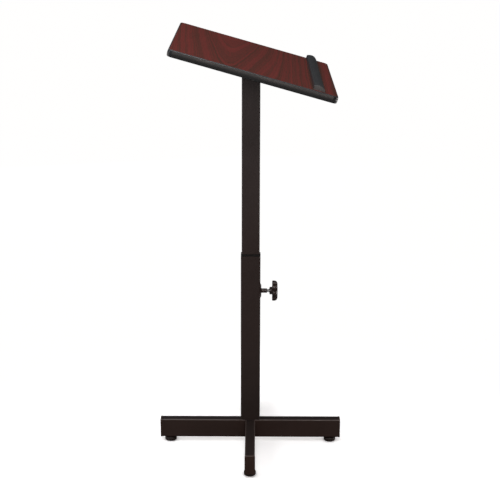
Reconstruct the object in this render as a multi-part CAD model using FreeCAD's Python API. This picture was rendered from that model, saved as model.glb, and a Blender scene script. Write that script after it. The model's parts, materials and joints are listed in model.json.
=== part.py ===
import FreeCAD, Part
import math
import os

# Height-adjustable lectern stand, millimetres: a cross of four legs, a telescopic
# column locked by a knob, and a sloping reading surface with a book stop.
# Frame: +Z up, +X towards the speaker (the low edge of the reading surface),
# +Y to the speaker's right.  Origin on the floor under the column's centre line.
# "Front" is the -X end of the base and "rear" the +X end.

Vector = FreeCAD.Vector
X_AXIS, Y_AXIS, Z_AXIS = Vector(1, 0, 0), Vector(0, 1, 0), Vector(0, 0, 1)
ORIGIN = Vector(0, 0, 0)
os.makedirs("parts", exist_ok=True)

# ------------------------------------------------------------ shared dimensions
CLEAR = 0.05              # running clearance per side

# rectangular tube of the legs and the lower column (2 x 1 in)
TUBE_W = 50.8
TUBE_D = 25.4
TUBE_T = 1.5
TUBE_R = 3.0              # outer corner radius, also used on the upper column
BORE_W = TUBE_W - 2 * TUBE_T
BORE_D = TUBE_D - 2 * TUBE_T
INSERT_W = BORE_W - 2 * CLEAR     # section of a part that slides into the tube
INSERT_D = BORE_D - 2 * CLEAR

# legs
LONG_LEG_L = 481.0        # over the end caps, along X
CROSS_LEG_L = 466.5       # over the end caps, along Y
CAP_FLANGE = 4.0
LEG_Z0 = 12.5             # underside of the legs above the floor
LEG_Z1 = LEG_Z0 + TUBE_W
LEG_MID_Z = (LEG_Z0 + LEG_Z1) / 2.0
LEG_X = LONG_LEG_L / 2.0
LEG_Y = CROSS_LEG_L / 2.0
FOOT_INSET = 26.9         # foot centre from the end of the leg
FOOT_X = LEG_X - FOOT_INSET
FOOT_Y = LEG_Y - FOOT_INSET
NUT_BODY_D = 11.0         # rivet nut's body, through the leg's lower wall

# base fastening: bolts at x = -BOLT_X and x = +BOLT_X
BOLT_X = 14.0
BOLT_D = 8.0
ACCESS_D = 16.0           # access holes under the leg, opposite the bolts

# upper column
UPPER_W = 46.4
UPPER_D = 21.0
UPPER_T = 1.5
UPPER_Z0 = 385.0          # lower end of the upper column in this pose

# clamp, axis along X
CLAMP_Z = 423.5
SLEEVE_D = 11.4
WALL_X = TUBE_W / 2       # outer face of the lower column's +X wall


# ------------------------------------------------------------ helpers
def rounded_wire(width, depth, radius, z=0.0, cx=0.0, cy=0.0):
    """Rounded rectangle, width along X and depth along Y, in the plane at height z."""
    a, b = width / 2.0, depth / 2.0
    k = radius * (1 - math.sqrt(0.5))

    def point(x, y):
        return Vector(cx + x, cy + y, z)

    def arc(start, middle, end):
        return Part.Arc(point(*start), point(*middle), point(*end)).toShape()

    return Part.Wire([
        Part.makeLine(point(-a + radius, -b), point(a - radius, -b)),
        arc((a - radius, -b), (a - k, -b + k), (a, -b + radius)),
        Part.makeLine(point(a, -b + radius), point(a, b - radius)),
        arc((a, b - radius), (a - k, b - k), (a - radius, b)),
        Part.makeLine(point(a - radius, b), point(-a + radius, b)),
        arc((-a + radius, b), (-a + k, b - k), (-a, b - radius)),
        Part.makeLine(point(-a, b - radius), point(-a, -b + radius)),
        arc((-a, -b + radius), (-a + k, -b + k), (-a + radius, -b)),
    ])


def rounded_block(width, depth, height, radius, z=0.0, cx=0.0, cy=0.0):
    wire = rounded_wire(width, depth, radius, z, cx, cy)
    return Part.Face(wire).extrude(Vector(0, 0, height))


def rounded_tube(width, depth, height, wall, radius, z=0.0):
    outer = rounded_block(width, depth, height, radius, z)
    return outer.cut(rounded_block(width - 2 * wall, depth - 2 * wall, height + 2,
                                   radius - wall, z - 1))


def cylinder(radius, height, z, x=0.0, y=0.0):
    """Upright cylinder standing on height z."""
    return Part.makeCylinder(radius, height, Vector(x, y, z), Z_AXIS)


def clamp_cylinder(radius, length, x):
    """Cylinder on the clamp's axis, running towards +X from x."""
    return Part.makeCylinder(radius, length, Vector(x, 0, CLAMP_Z), X_AXIS)


def fillet_flat_edges(shape, radius, axis, level):
    """Fillet the edges that lie wholly in the plane axis ("X" or "Z") = level."""
    def in_plane(edge):
        box = edge.BoundBox
        return (abs(getattr(box, axis + "Min") - level) < 1e-4
                and abs(getattr(box, axis + "Max") - level) < 1e-4)
    return shape.makeFillet(radius, [edge for edge in shape.Edges if in_plane(edge)])


def turned(shape, axis, degrees):
    """Copy rotated about an axis through the origin."""
    copy = shape.copy()
    copy.rotate(ORIGIN, axis, degrees)
    return copy


def moved(shape, offset):
    copy = shape.copy()
    copy.translate(offset)
    return copy


def polygon_face(points):
    return Part.Face(Part.makePolygon(points + [points[0]]))


def revolve_about_z(profile):
    """Turned solid on the Z axis from (radius, z) pairs."""
    return polygon_face([Vector(r, 0, z) for r, z in profile]).revolve(ORIGIN, Z_AXIS, 360)


def revolve_about_clamp(profile):
    """Turned solid on the clamp's axis from (x, radius) pairs."""
    face = polygon_face([Vector(x, 0, CLAMP_Z + r) for x, r in profile])
    return face.revolve(Vector(0, 0, CLAMP_Z), X_AXIS, 360)


def arc_points(centre_a, centre_b, radius, angles):
    """Points of a circle, as pairs, at the given angles in degrees."""
    return [(centre_a + radius * math.cos(math.radians(angle)),
             centre_b + radius * math.sin(math.radians(angle))) for angle in angles]


def cleaned(shape):
    """The shape's single solid, cleaned of seams between coplanar faces."""
    merged = shape.removeSplitter()
    return merged.Solids[0] if len(merged.Solids) == 1 else merged


def save(name, shape):
    solids = shape.Solids
    out = solids[0] if len(solids) == 1 else Part.makeCompound(solids)
    out.exportStep(os.path.join("parts", name + ".step"))


# ------------------------------------------------------------ legs
def leg_tube(length, x):
    """Tube along +X from x, its section standing on edge."""
    tube = turned(rounded_tube(TUBE_W, TUBE_D, length, TUBE_T, TUBE_R), Y_AXIS, 90)
    return moved(tube, Vector(x, 0, LEG_MID_Z))


def nut_hole(x):
    return cylinder(NUT_BODY_D / 2 + CLEAR, 4, LEG_Z0 - 1, x)


def long_leg():
    leg = leg_tube(LONG_LEG_L - 2 * CAP_FLANGE, -LEG_X + CAP_FLANGE)
    for side in (-1, 1):
        leg = leg.cut(nut_hole(side * FOOT_X))
        leg = leg.cut(cylinder(BOLT_D / 2 + 0.5, 6, LEG_Z1 - 3, side * BOLT_X))
        leg = leg.cut(cylinder(ACCESS_D / 2, 6, LEG_Z0 - 3, side * BOLT_X))
    return cleaned(leg)


def cross_leg():
    """Half of the cross leg, along +X, starting at the long leg's side."""
    leg = leg_tube(LEG_Y - CAP_FLANGE - TUBE_D / 2, TUBE_D / 2)
    return cleaned(leg.cut(nut_hole(FOOT_Y)))


def end_cap():
    """Push-in cap for a leg end at x = 0, its flange outside, its plug towards -X."""
    lip = 0.6             # flange stands proud of the tube all round
    plug_w, plug_d = BORE_W - 1.2, BORE_D - 1.2
    plug_wall = 1.6
    rib_t = 1.2
    flange = rounded_block(TUBE_W + 2 * lip, TUBE_D + 2 * lip, CAP_FLANGE, TUBE_R + lip)
    flange = fillet_flat_edges(turned(flange, Y_AXIS, 90), 1.4, "X", CAP_FLANGE)
    plug = rounded_block(plug_w, plug_d, 14.5, 1.2).cut(
        rounded_block(plug_w - 2 * plug_wall, plug_d - 2 * plug_wall, 16.5, 0.8, -1))
    for z in (2.0, 6.0, 10.0):
        rib = rounded_block(INSERT_W, INSERT_D, rib_t, 1.4, z)
        rib = rib.cut(rounded_block(plug_w - 1.0, plug_d - 1.0, 3, 1.0, z - 1))
        plug = plug.fuse(rib)
    plug = turned(plug, Y_AXIS, -90)
    return moved(cleaned(flange.fuse(plug)), Vector(0, 0, LEG_MID_Z))


save("long_leg", long_leg())
cross_half = cross_leg()
save("cross_leg_left", turned(cross_half, Z_AXIS, -90))
save("cross_leg_right", turned(cross_half, Z_AXIS, 90))

cap = end_cap()
# name, centre to the cap's outer face, turn about Z
for name, reach, angle in (("rear", LEG_X, 0), ("front", LEG_X, 180),
                           ("left", LEG_Y, -90), ("right", LEG_Y, 90)):
    placed = moved(cap, Vector(reach - CAP_FLANGE, 0, 0))
    save("end_cap_" + name, turned(placed, Z_AXIS, angle))

# ------------------------------------------------------------ levelling feet
FOOT_CENTRES = {
    "front": Vector(-FOOT_X, 0, 0),
    "rear": Vector(FOOT_X, 0, 0),
    "left": Vector(0, -FOOT_Y, 0),
    "right": Vector(0, FOOT_Y, 0),
}
FOOT_D = 31.0
FOOT_H = 11.1
FOOT_LOW_R = 3.6          # rounding of the pad's lower and upper rim
FOOT_TOP_R = 2.4
STUD_D = 8.0
STUD_TOP = 38.0
STUD_HEAD_D = 14.0
STUD_HEAD_T = 3.0
STUD_HEAD_Z = 3.0
NUT_FLANGE_D = 16.0
NUT_FLANGE_T = 1.0
NUT_H = 15.0


def rivet_nut():
    """Flange under the leg, body through its lower wall, bulge above it, smooth bore."""
    bulge = 1.4
    nut = cylinder(NUT_FLANGE_D / 2, NUT_FLANGE_T, LEG_Z0 - NUT_FLANGE_T)
    nut = nut.fuse(cylinder(NUT_BODY_D / 2, NUT_H, LEG_Z0))
    nut = nut.fuse(cylinder(NUT_BODY_D / 2 + bulge, 3.0, LEG_Z0 + TUBE_T + CLEAR))
    return cleaned(nut.cut(cylinder(STUD_D / 2 + CLEAR, NUT_H + 6, LEG_Z0 - 3)))


def foot_pad():
    """Button with a bore from the top and a pocket for the stud's head."""
    radius = FOOT_D / 2
    shoulder_z = FOOT_H - 3.2         # start of the upper rounding
    profile = [(0, 0)]
    profile += arc_points(radius - FOOT_LOW_R, FOOT_LOW_R, FOOT_LOW_R, range(-90, 1, 15))
    profile += arc_points(radius - FOOT_TOP_R, shoulder_z, FOOT_TOP_R, range(0, 91, 15))
    profile += [(radius - 5.5, FOOT_H), (0, FOOT_H)]
    pad = revolve_about_z(profile)
    pad = pad.cut(cylinder(STUD_D / 2 + CLEAR, FOOT_H, STUD_HEAD_Z + 1))
    pad = pad.cut(cylinder(STUD_HEAD_D / 2 + CLEAR, STUD_HEAD_T + 2 * CLEAR,
                           STUD_HEAD_Z - CLEAR))
    return cleaned(pad)


def foot_stud():
    stud = cylinder(STUD_D / 2, STUD_TOP - STUD_HEAD_Z, STUD_HEAD_Z)
    stud = stud.fuse(cylinder(STUD_HEAD_D / 2, STUD_HEAD_T, STUD_HEAD_Z))
    return cleaned(fillet_flat_edges(stud, 0.8, "Z", STUD_TOP))


nut, pad, stud = rivet_nut(), foot_pad(), foot_stud()
save("leg_rivet_nuts", Part.makeCompound([moved(nut, p) for p in FOOT_CENTRES.values()]))
for name, centre in FOOT_CENTRES.items():
    save("foot_pad_" + name, moved(pad, centre))
    save("foot_stud_" + name, moved(stud, centre))

# ------------------------------------------------------------ lower column and its fastening
LOWER_TOP = 519.8         # steel edge of the lower column
COLLAR_H = 5.5            # visible height of the plastic guide collar
COLLAR_SKIRT = 32.0
COLLAR_INSET = 0.3        # how much narrower the collar is than the tube
FOOT_PLATE_T = 8.0
INSERT_R = 1.5            # corner radius of the inserts in the column
WASHER_T = 1.6
BOLT_HEAD_AF = 13.0       # across flats
BOLT_HEAD_H = 5.3
BOLT_END = 1.5            # bolt above the foot plate
SEAT_Z = LEG_Z1 - TUBE_T  # inside face of the leg's upper wall


def lower_column():
    tube = rounded_tube(TUBE_W, TUBE_D, LOWER_TOP - LEG_Z1, TUBE_T, TUBE_R, LEG_Z1)
    return cleaned(tube.cut(clamp_cylinder(SLEEVE_D / 2 + CLEAR, 10, WALL_X - 5)))


def column_foot_plate():
    plate = rounded_block(INSERT_W, INSERT_D, FOOT_PLATE_T, INSERT_R, LEG_Z1)
    for side in (-1, 1):
        plate = plate.cut(cylinder(BOLT_D / 2 + CLEAR, FOOT_PLATE_T + 4, LEG_Z1 - 2,
                                   side * BOLT_X))
    return cleaned(plate)


def base_bolt():
    """Hexagon bolt, head inside the leg, pointing up into the column."""
    shank_z = SEAT_Z - WASHER_T
    corners = arc_points(0, 0, BOLT_HEAD_AF / math.sqrt(3.0), range(0, 360, 60))
    head = polygon_face([Vector(x, y, shank_z - BOLT_HEAD_H) for x, y in corners])
    head = head.extrude(Vector(0, 0, BOLT_HEAD_H))
    length = WASHER_T + TUBE_T + FOOT_PLATE_T + BOLT_END
    bolt = cleaned(head.fuse(cylinder(BOLT_D / 2, length, shank_z)))
    return fillet_flat_edges(bolt, 0.7, "Z", LEG_Z1 + FOOT_PLATE_T + BOLT_END)


def base_washer():
    return cylinder(8.0, WASHER_T, SEAT_Z - WASHER_T).cut(cylinder(4.2, 4, SEAT_Z - 3))


def access_hole_plug():
    """Cup open upwards, its chamfered rim under the leg."""
    rim_r = 9.9
    cup_r = ACCESS_D / 2 - CLEAR
    cup_wall = 1.2
    return revolve_about_z([
        (0, LEG_Z0 - 0.9), (8.8, LEG_Z0 - 0.9), (rim_r, LEG_Z0 - 0.3), (rim_r, LEG_Z0),
        (cup_r, LEG_Z0), (cup_r, LEG_Z0 + 6.0), (cup_r - cup_wall, LEG_Z0 + 6.0),
        (cup_r - cup_wall, LEG_Z0 + 0.6), (0, LEG_Z0 + 0.6),
    ])


def column_collar():
    """Ring over the steel edge with a thin skirt between the two columns."""
    ring_top = LOWER_TOP + COLLAR_H
    skirt_z = LOWER_TOP - COLLAR_SKIRT
    ring = rounded_block(TUBE_W - COLLAR_INSET, TUBE_D - COLLAR_INSET, COLLAR_H, TUBE_R,
                         LOWER_TOP)
    ring = fillet_flat_edges(ring, 1.9, "Z", ring_top)
    ring = fillet_flat_edges(ring, 0.6, "Z", LOWER_TOP)
    # the skirt reaches 1 mm into the ring so that the two join
    skirt = rounded_block(INSERT_W, INSERT_D, COLLAR_SKIRT + 1.0, INSERT_R, skirt_z)
    opening = rounded_block(UPPER_W + 2 * CLEAR, UPPER_D + 2 * CLEAR, COLLAR_SKIRT + 20,
                            TUBE_R + CLEAR, skirt_z - 5)
    return cleaned(ring.fuse(skirt).cut(opening))


save("lower_column", lower_column())
save("column_foot_plate", column_foot_plate())
for name, piece in (("base_bolts", base_bolt()), ("base_washers", base_washer()),
                    ("access_hole_plugs", access_hole_plug())):
    pair = [moved(piece, Vector(side * BOLT_X, 0, 0)) for side in (-1, 1)]
    save(name, Part.makeCompound(pair))
save("column_collar", column_collar())

# ------------------------------------------------------------ clamp
BOSS_H = 38.2
BOSS_W = 22.0
BOSS_T = 2.4
BOSS_RIM_T = 0.5          # straight rim before the boss tapers
SLEEVE_X0 = WALL_X - TUBE_T
SLEEVE_X1 = 42.8
SCREW_D = 8.0
TIP_X0 = UPPER_W / 2 + CLEAR      # pressure pad's face against the upper column
TIP_T = 3.0
TIP_STEM_R = 2.0
SCREW_X0 = TIP_X0 + TIP_T + CLEAR
SCREW_X1 = 64.0
SCREW_COLLAR_X = 56.0     # collar on the screw, embedded in the knob
SCREW_COLLAR_R = 6.5
SCREW_COLLAR_T = 4.0
HUB_X0 = 49.2
HUB_R = 19.6 / 2
HEAD_X0 = 56.0            # the knob's lobed head
KNOB_X1 = 70.2
KNOB_R = 54.4 / 2
LOBE_COUNT = 4
LOBE_R = 7.2              # radius of a lobe's own circle
VALLEY_R = 13.6           # valley floor from the axis
INNER_RIM_R = 2.8         # rounding of the head's rim towards the column
OUTER_RIM_R = 10.4        # rounding of the rim away from the column


def clamp_boss():
    """Tapered round-ended plate on the column's wall, around the sleeve."""
    def outline(height, width, z=0.0):
        return rounded_wire(height, width, width / 2 - 0.01, z)

    rim = Part.Face(outline(BOSS_H, BOSS_W)).extrude(Vector(0, 0, BOSS_RIM_T))
    taper = Part.makeLoft([outline(BOSS_H, BOSS_W, BOSS_RIM_T),
                           outline(BOSS_H - 9.0, BOSS_W - 5.0, BOSS_T)], True)
    boss = moved(turned(rim.fuse(taper), Y_AXIS, 90), Vector(WALL_X, 0, CLAMP_Z))
    return cleaned(boss.cut(clamp_cylinder(SLEEVE_D / 2 + CLEAR, 20, WALL_X - 5)))


def clamp_sleeve():
    sleeve = clamp_cylinder(SLEEVE_D / 2, SLEEVE_X1 - SLEEVE_X0, SLEEVE_X0)
    sleeve = fillet_flat_edges(sleeve, 0.9, "X", SLEEVE_X1)
    return cleaned(sleeve.cut(clamp_cylinder(SCREW_D / 2 + CLEAR, 40, WALL_X - 5)))


def clamp_pressure_pad():
    """Disc against the upper column, its stem in the screw's end."""
    disc = clamp_cylinder(SCREW_D / 2, TIP_T, TIP_X0)
    return cleaned(disc.fuse(clamp_cylinder(TIP_STEM_R, 4.0, TIP_X0 + TIP_T)))


def clamp_screw():
    screw = clamp_cylinder(SCREW_D / 2, SCREW_X1 - SCREW_X0, SCREW_X0)
    screw = screw.fuse(clamp_cylinder(SCREW_COLLAR_R, SCREW_COLLAR_T, SCREW_COLLAR_X))
    return cleaned(screw.cut(clamp_cylinder(TIP_STEM_R + CLEAR, 4.6, SCREW_X0 - 0.1)))


def lobe_outline(x):
    """Closed outline of round lobes joined by hollow valleys, in the plane at x."""
    half_pitch = math.pi / LOBE_COUNT
    lobe_centre_r = KNOB_R - LOBE_R
    # A valley's circle is centred on the bisector and tangent to both lobes beside it;
    # the cosine rule gives its centre's distance from the axis.
    offset = LOBE_R - VALLEY_R
    valley_centre_r = ((lobe_centre_r ** 2 - offset ** 2)
                       / (2 * (offset + lobe_centre_r * math.cos(half_pitch))))

    def polar(radius, angle):
        return Vector(x, radius * math.sin(angle), CLAMP_Z + radius * math.cos(angle))

    def tangent_point(lobe_angle, valley_angle):
        centre = polar(lobe_centre_r, lobe_angle)
        direction = polar(valley_centre_r, valley_angle).sub(centre)
        direction.normalize()
        return centre.add(direction * LOBE_R)

    edges = []
    for i in range(LOBE_COUNT):
        lobe = 2 * half_pitch * i
        valley = lobe + half_pitch
        start = tangent_point(lobe, lobe - half_pitch)
        middle = tangent_point(lobe, valley)
        end = tangent_point(lobe + 2 * half_pitch, valley)
        edges.append(Part.Arc(start, polar(KNOB_R, lobe), middle).toShape())
        edges.append(Part.Arc(middle, polar(VALLEY_R, valley), end).toShape())
    return Part.Wire(edges)


def clamp_knob():
    star = Part.Face(lobe_outline(HEAD_X0 - 1)).extrude(Vector(KNOB_X1 - HEAD_X0 + 2, 0, 0))
    # turned envelope: rounded inner rim, domed outer rim, slightly crowned face
    envelope = [(HEAD_X0, 0)]
    envelope += arc_points(HEAD_X0 + INNER_RIM_R, KNOB_R - INNER_RIM_R, INNER_RIM_R,
                           range(180, 89, -15))
    envelope += arc_points(KNOB_X1 - 0.5 - OUTER_RIM_R, KNOB_R - OUTER_RIM_R, OUTER_RIM_R,
                           range(90, -1, -10))
    envelope += [(KNOB_X1 - 0.2, KNOB_R - 15.5), (KNOB_X1, 6.0), (KNOB_X1, 0)]
    head = star.common(revolve_about_clamp(envelope))
    hub = revolve_about_clamp([
        (HUB_X0 - 0.8, 0), (HUB_X0 - 0.8, 5.6), (HUB_X0, 6.4), (HUB_X0 + 0.3, HUB_R - 1.6),
        (HUB_X0 + 1.9, HUB_R), (HEAD_X0 + 2, HUB_R), (HEAD_X0 + 2, 0),
    ])
    knob = head.fuse(hub)
    knob = knob.cut(clamp_cylinder(SCREW_D / 2 + CLEAR, SCREW_X1 + 0.1 - 40.0, 40.0))
    knob = knob.cut(clamp_cylinder(SCREW_COLLAR_R + CLEAR, SCREW_COLLAR_T + 2 * CLEAR,
                                   SCREW_COLLAR_X - CLEAR))
    return cleaned(knob)


save("clamp_boss_plate", clamp_boss())
save("clamp_sleeve", clamp_sleeve())
save("clamp_pressure_pad", clamp_pressure_pad())
save("clamp_screw", clamp_screw())
save("clamp_knob", clamp_knob())

# ------------------------------------------------------------ reading surface
# Built in the desk's own frame: u (X) down the slope, v (Y) across, w (Z) out of the
# top face, with the origin at the middle of that face.
TILT = 15.7               # degrees about Y
DESK_X = 7.5              # middle of the top face
DESK_Z = 1031.5
DESK_L = 406.4            # down the slope, over the edging (16 in)
DESK_W = 508.0            # across, over the edging (20 in)
DESK_T = 17.3             # 15.9 mm (5/8 in) board with a skin on each face
SKIN_T = 0.7              # laminate and backing sheet
EDGE_E = 3.4              # how far the edging stands out of the panel at mid-height
EDGE_R = 2.8              # rounding of the edging's upper and lower corner
DESK_CORNER = 13.0        # plan radius of the edged corner
KERF_H = 1.8
KERF_DEPTH = 10.0
TONGUE_T = 1.6
TONGUE_L = 9.0
TONGUE_NOTCH = 12.0       # tongue left out at each end of a straight run

PANEL_L = DESK_L - 2 * EDGE_E
PANEL_W = DESK_W - 2 * EDGE_E
PANEL_R = DESK_CORNER - EDGE_E
STRAIGHT_U = PANEL_L / 2 - PANEL_R    # half the straight run of each edge
STRAIGHT_V = PANEL_W / 2 - PANEL_R
DESK_BOTTOM = -DESK_T
DESK_MID = -DESK_T / 2

PLATE_L = 160.0
PLATE_W = 110.0
PLATE_T = 3.0
PLATE_HOLE_U = 65.0
PLATE_HOLE_V = 40.0
PLATE_BOTTOM = DESK_BOTTOM - PLATE_T
# places the centre of the plate's underside on the column's centre line
PLATE_U = ((-DESK_X - PLATE_BOTTOM * math.sin(math.radians(TILT)))
           / math.cos(math.radians(TILT)))

# screws through the plate and into the book stop
WOOD_SCREW_R = 2.1
PLATE_SCREW_DEPTH = 13.0  # into the desk
STOP_SCREW_DEPTH = 8.0    # into the book stop

STOP_U0 = 142.0
STOP_BASE = 29.3          # footprint down the slope
STOP_U1 = STOP_U0 + STOP_BASE
STOP_HALF = 240.0         # half length, across
STOP_FACE = 7.6           # height of the straight face the book leans on
# (down the slope from STOP_U0, above the laminate), from the crest round to the foot
STOP_CROWN = [
    (1.7, 9.6), (4.0, 10.4), (6.5, 11.05), (9.2, 11.5), (12.0, 11.75), (14.8, 11.6),
    (17.7, 10.95), (21.0, 9.3), (24.2, 6.9), (27.0, 3.9), (29.0, 1.0),
]
READ_EDGE = STOP_U0 - 0.5         # low end of the reading face

PLATE_SCREWS = [Vector(PLATE_U + su * PLATE_HOLE_U, sv * PLATE_HOLE_V, 0)
                for su in (-1, 1) for sv in (-1, 1)]
STOP_SCREWS = [Vector((STOP_U0 + STOP_U1) / 2 - 2, v, 0) for v in (-190.0, 0.0, 190.0)]


def tilted(shape):
    """From the desk's own frame to its place on the column."""
    return moved(turned(shape, Y_AXIS, TILT), Vector(DESK_X, 0, DESK_Z))


def drilled(shape, centres, radius, depth, bottom):
    """Shape with a hole cut at each centre, upwards from bottom."""
    for centre in centres:
        shape = shape.cut(cylinder(radius, depth, bottom, centre.x, centre.y))
    return shape


def drilled_for_plate(shape):
    return drilled(shape, PLATE_SCREWS, WOOD_SCREW_R + CLEAR, PLATE_SCREW_DEPTH + 1.5,
                   DESK_BOTTOM - 1)


def drilled_for_stop(shape):
    return drilled(shape, STOP_SCREWS, WOOD_SCREW_R + CLEAR, DESK_T + 2, DESK_BOTTOM - 1)


def face_laminate():
    sheet = drilled_for_stop(rounded_block(PANEL_L, PANEL_W, SKIN_T, PANEL_R, -SKIN_T))
    # the top face is divided just above the book stop, so that the part a book
    # rests on is a face of its own
    upslope = Part.makeBox(PANEL_L, PANEL_W + 20, 4 * SKIN_T,
                           Vector(READ_EDGE - PANEL_L, -PANEL_W / 2 - 10, -2 * SKIN_T))
    return sheet.common(upslope).fuse(sheet.cut(upslope)).Solids[0]


def panel_core():
    """Board with a kerf all round its edge for the edging's tongue."""
    core = rounded_block(PANEL_L, PANEL_W, DESK_T - 2 * SKIN_T, PANEL_R, DESK_BOTTOM + SKIN_T)
    kerf_z = DESK_MID - KERF_H / 2
    kerf = rounded_block(PANEL_L + 10, PANEL_W + 10, KERF_H, PANEL_R, kerf_z).cut(
        rounded_block(PANEL_L - 2 * KERF_DEPTH, PANEL_W - 2 * KERF_DEPTH, KERF_H + 2, 0.5,
                      kerf_z - 1))
    return cleaned(drilled_for_stop(drilled_for_plate(core.cut(kerf))))


def backing_sheet():
    sheet = rounded_block(PANEL_L, PANEL_W, SKIN_T, PANEL_R, DESK_BOTTOM)
    return cleaned(drilled_for_stop(drilled_for_plate(sheet)))


def mounting_plate():
    plate = rounded_block(PLATE_L, PLATE_W, PLATE_T, 10.0, PLATE_BOTTOM, PLATE_U)
    plate = fillet_flat_edges(plate, 0.6, "Z", PLATE_BOTTOM)
    return cleaned(drilled(plate, PLATE_SCREWS, WOOD_SCREW_R + 0.65, PLATE_T + 4,
                           PLATE_BOTTOM - 2))


def wood_screws(centres, seat, length):
    """Cross-head screws pointing up, heads under seat, length taken from seat to tip."""
    head_h = 3.0
    tip_h = 2.5
    screw = revolve_about_z([
        (0, seat), (4.4, seat), (4.4, seat - 1.2), (3.7, seat - 2.3),
        (2.2, seat - head_h), (0, seat - head_h),
    ])
    screw = screw.fuse(cylinder(WOOD_SCREW_R, length - tip_h, seat))
    screw = screw.fuse(Part.makeCone(WOOD_SCREW_R, 0.3, tip_h,
                                     Vector(0, 0, seat + length - tip_h)))
    slot = Part.makeBox(4.4, 1.0, 1.6, Vector(-2.2, -0.5, seat - head_h - 0.2))
    for angle in (0, 90):
        screw = screw.cut(turned(slot, Z_AXIS, angle))
    screw = cleaned(screw)
    return Part.makeCompound([moved(screw, centre) for centre in centres])


def book_stop():
    """Straight face up the slope, rounded face down the slope."""
    crown_points = [Vector(STOP_U0 + u, 0, w) for u, w in STOP_CROWN]
    crown = Part.BSplineCurve()
    crown.interpolate(crown_points)
    heel, toe = Vector(STOP_U0, 0, 0), Vector(STOP_U1, 0, 0)
    face_top = Vector(STOP_U0, 0, STOP_FACE)
    outline = Part.Wire([
        Part.makeLine(heel, face_top),
        Part.Arc(face_top, Vector(STOP_U0 + 0.45, 0, STOP_FACE + 1.3),
                 crown_points[0]).toShape(),
        crown.toShape(),
        Part.makeLine(crown_points[-1], toe),
        Part.makeLine(toe, heel),
    ])
    stop = Part.Face(outline).extrude(Vector(0, 2 * STOP_HALF, 0))
    stop = moved(stop, Vector(0, -STOP_HALF, 0))
    return cleaned(drilled(stop, STOP_SCREWS, WOOD_SCREW_R + CLEAR, 10.0, -0.5))


def edging_section(u, v, outward):
    """Domed strip section standing on the panel's edge at (u, v)."""
    half = DESK_T / 2
    k = EDGE_R * (1 - math.sqrt(0.5))

    def point(out, w):
        return Vector(u, v, DESK_MID) + outward * out + Z_AXIS * w

    return Part.Face(Part.Wire([
        Part.Arc(point(0, -half), point(EDGE_R - k, -half + k),
                 point(EDGE_R, -half + EDGE_R)).toShape(),
        Part.Arc(point(EDGE_R, -half + EDGE_R), point(EDGE_E, 0),
                 point(EDGE_R, half - EDGE_R)).toShape(),
        Part.Arc(point(EDGE_R, half - EDGE_R), point(EDGE_R - k, half - k),
                 point(0, half)).toShape(),
        Part.makeLine(point(0, half), point(0, -half)),
    ]))


def edge_molding():
    """Strip round the panel, with a tongue in the kerf on the straight runs only."""
    pieces = []
    for side in (-1, 1):
        section = edging_section(side * PANEL_L / 2, -STRAIGHT_V, X_AXIS * side)
        pieces.append(section.extrude(Vector(0, 2 * STRAIGHT_V, 0)))
    for side in (-1, 1):
        section = edging_section(-STRAIGHT_U, side * PANEL_W / 2, Y_AXIS * side)
        pieces.append(section.extrude(Vector(2 * STRAIGHT_U, 0, 0)))
    # corner's side in u and v, outward direction (u, v) where its quarter turn starts
    for su, sv, out_u, out_v in ((1, -1, 0, -1), (1, 1, 1, 0), (-1, 1, 0, 1), (-1, -1, -1, 0)):
        u, v = su * STRAIGHT_U, sv * STRAIGHT_V
        section = edging_section(u + out_u * PANEL_R, v + out_v * PANEL_R,
                                 Vector(out_u, out_v, 0))
        pieces.append(section.revolve(Vector(u, v, DESK_MID), Z_AXIS, 90))
    edging = pieces[0].multiFuse(pieces[1:])

    run_u, run_v = STRAIGHT_U - TONGUE_NOTCH, STRAIGHT_V - TONGUE_NOTCH
    tongue_z = DESK_MID - TONGUE_T / 2
    tongue_u = Part.makeBox(TONGUE_L, 2 * run_v, TONGUE_T,
                            Vector(PANEL_L / 2 - TONGUE_L, -run_v, tongue_z))
    tongue_v = Part.makeBox(2 * run_u, TONGUE_L, TONGUE_T,
                            Vector(-run_u, PANEL_W / 2 - TONGUE_L, tongue_z))
    for tongue in (tongue_u, tongue_v):
        edging = edging.fuse(turned(tongue, Z_AXIS, 180))
        edging = edging.fuse(tongue)
    return cleaned(edging)


save("face_laminate", tilted(face_laminate()))
save("panel_core", tilted(panel_core()))
save("backing_sheet", tilted(backing_sheet()))
save("edge_molding", tilted(edge_molding()))
save("book_stop", tilted(book_stop()))
save("book_stop_screws",
     tilted(wood_screws(STOP_SCREWS, DESK_BOTTOM, DESK_T + STOP_SCREW_DEPTH)))
save("mounting_plate", tilted(mounting_plate()))
save("mounting_screws",
     tilted(wood_screws(PLATE_SCREWS, PLATE_BOTTOM, PLATE_T + PLATE_SCREW_DEPTH)))


# ------------------------------------------------------------ upper column
def upper_column():
    """Tube cut off along the underside of the mounting plate."""
    tube = rounded_tube(UPPER_W, UPPER_D, 700.0, UPPER_T, TUBE_R, UPPER_Z0)
    above = tilted(Part.makeBox(600, 600, 400, Vector(-300, -300, PLATE_BOTTOM)))
    return cleaned(tube.cut(above))


def upper_column_plug():
    """Flange below the tube's lower end, hollow plug inside it."""
    flange_t = 2.0
    plug_w = UPPER_W - 2 * UPPER_T - 2 * CLEAR
    plug_d = UPPER_D - 2 * UPPER_T - 2 * CLEAR
    plug_wall = 1.5
    plug = rounded_block(BORE_W - 0.3, BORE_D - 0.3, flange_t, 1.5, UPPER_Z0 - flange_t)
    plug = plug.fuse(rounded_block(plug_w, plug_d, 16.0, 1.4, UPPER_Z0))
    plug = plug.cut(rounded_block(plug_w - 2 * plug_wall, plug_d - 2 * plug_wall, 17.0, 0.8,
                                  UPPER_Z0))
    return cleaned(plug)


save("upper_column", upper_column())
save("upper_column_plug", upper_column_plug())
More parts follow.
